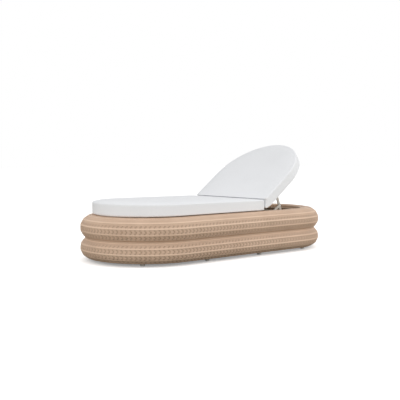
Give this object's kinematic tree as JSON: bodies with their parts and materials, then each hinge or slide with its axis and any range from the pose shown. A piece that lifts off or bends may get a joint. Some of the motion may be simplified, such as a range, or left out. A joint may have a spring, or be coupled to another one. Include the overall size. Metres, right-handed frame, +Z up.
{
  "type": "chaise longue",
  "caption": "Woven sun lounger with a double-bolster oval base, a boxed seat cushion and a reclining round-topped backrest on a folding stay.",
  "frame": {"origin": "on the floor under the middle of the base", "axes": "+X along the length towards the head end, +Y to the left of a person lying on it, +Z up"},
  "size_m": [2.1096, 0.95, 0.827],
  "materials": {
    "wicker": "woven synthetic rattan strands in warm tan, satin",
    "cushion_fabric": "plain woven outdoor cloth in off-white, matte",
    "coated_aluminium": "powder-coated in light stone grey, satin",
    "hidden_frame": "powder-coated brown, satin",
    "pin_steel": "turned stainless steel",
    "disc_fibre": "dark friction fibre",
    "glide_plastic": "moulded warm grey plastic"
  },
  "bodies": {
    "base": {"bolster_ribs": "hidden_frame", "bottom_hoop": "hidden_frame", "deck_rim": "hidden_frame", "foot_1": "glide_plastic", "foot_2": "glide_plastic", "foot_3": "glide_plastic", "foot_4": "glide_plastic", "foot_5": "glide_plastic", "foot_6": "glide_plastic", "foot_7": "glide_plastic", "foot_8": "glide_plastic", "foot_9": "glide_plastic", "friction_disc_left": "disc_fibre", "friction_disc_right": "disc_fibre", "hinge_bracket_left": "coated_aluminium", "hinge_bracket_right": "coated_aluminium", "hinge_pin_left": "pin_steel", "hinge_pin_right": "pin_steel", "hinge_screws": "pin_steel", "inner_weave": "wicker", "lower_weave": "wicker", "seat_cushion": "cushion_fabric", "seat_slat_1": "coated_aluminium", "seat_slat_10": "coated_aluminium", "seat_slat_11": "coated_aluminium", "seat_slat_2": "coated_aluminium", "seat_slat_3": "coated_aluminium", "seat_slat_4": "coated_aluminium", "seat_slat_5": "coated_aluminium", "seat_slat_6": "coated_aluminium", "seat_slat_7": "coated_aluminium", "seat_slat_8": "coated_aluminium", "seat_slat_9": "coated_aluminium", "stay_base_pin_left": "pin_steel", "stay_base_pin_right": "pin_steel", "stay_bracket_left": "coated_aluminium", "stay_bracket_right": "coated_aluminium", "top_hoop": "hidden_frame", "upper_weave": "wicker", "waist_hoop": "hidden_frame"},
    "backrest": {"back_cushion": "cushion_fabric", "back_frame": "coated_aluminium", "back_slat_1": "coated_aluminium", "back_slat_2": "coated_aluminium", "back_slat_3": "coated_aluminium", "back_slat_4": "coated_aluminium", "back_slat_5": "coated_aluminium", "back_slat_6": "coated_aluminium", "back_slat_7": "coated_aluminium", "hinge_tube": "coated_aluminium", "stay_lug_left": "coated_aluminium", "stay_lug_right": "coated_aluminium", "strut_pin_left": "pin_steel", "strut_pin_right": "pin_steel"},
    "strut": {"elbow_pin_left": "pin_steel", "elbow_pin_right": "pin_steel", "stay_strut": "coated_aluminium"},
    "link": {"stay_link": "coated_aluminium"}
  },
  "joints": [
    {"name": "backrest_recline", "type": "hinge", "parent": "base", "child": "backrest", "pos_m": [0.25, 0, 0.311], "axis": [0, -1, 0], "range_deg": [-36.5, 8.5]},
    {"name": "strut_swing", "type": "hinge", "parent": "backrest", "child": "strut", "pos_m": [0.47727, 0, 0.44434], "axis": [0, -1, 0], "range_deg": [-8.5, 36.5]},
    {"name": "link_swing", "type": "hinge", "parent": "base", "child": "link", "pos_m": [0.28476, 0, 0.22044], "axis": [0, -1, 0], "range_deg": [-36.5, 8.5]}
  ],
  "couplings": [
    {"joint": "strut_swing", "follows": "backrest_recline", "ratio": -1},
    {"joint": "link_swing", "follows": "backrest_recline", "ratio": 1}
  ]
}
